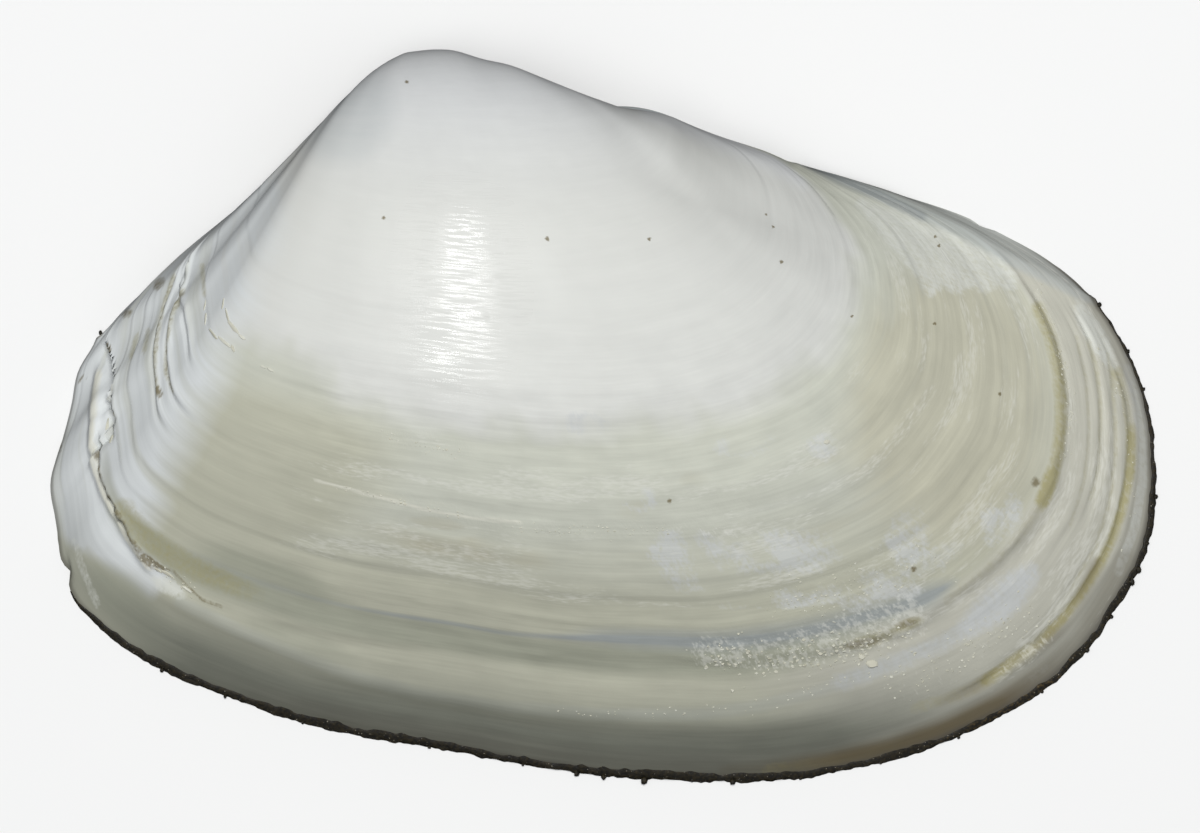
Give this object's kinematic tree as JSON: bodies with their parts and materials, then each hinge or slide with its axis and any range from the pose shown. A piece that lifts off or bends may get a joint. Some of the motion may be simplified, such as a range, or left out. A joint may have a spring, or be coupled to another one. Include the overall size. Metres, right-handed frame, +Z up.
{
  "type": "tuatua shell",
  "caption": "Right valve of a surf clam, a shallow lopsided bowl of worn cream shell with growth ridges, lying on its rim with its outside up.",
  "frame": {"origin": "middle of the valve's box, on the surface that its rim rests on", "axes": "+X to the long rounded front end, +Y to the hinge and beak, +Z up, out of the rounded outside"},
  "size_m": [0.075, 0.0496, 0.0141],
  "materials": {
    "worn_shell": "worn semi-gloss seashell, white at the beak, cream to grey-green lower down, brown fringe of horny skin at the edge"
  },
  "bodies": {
    "root": {"right_valve": "worn_shell"}
  },
  "joints": []
}
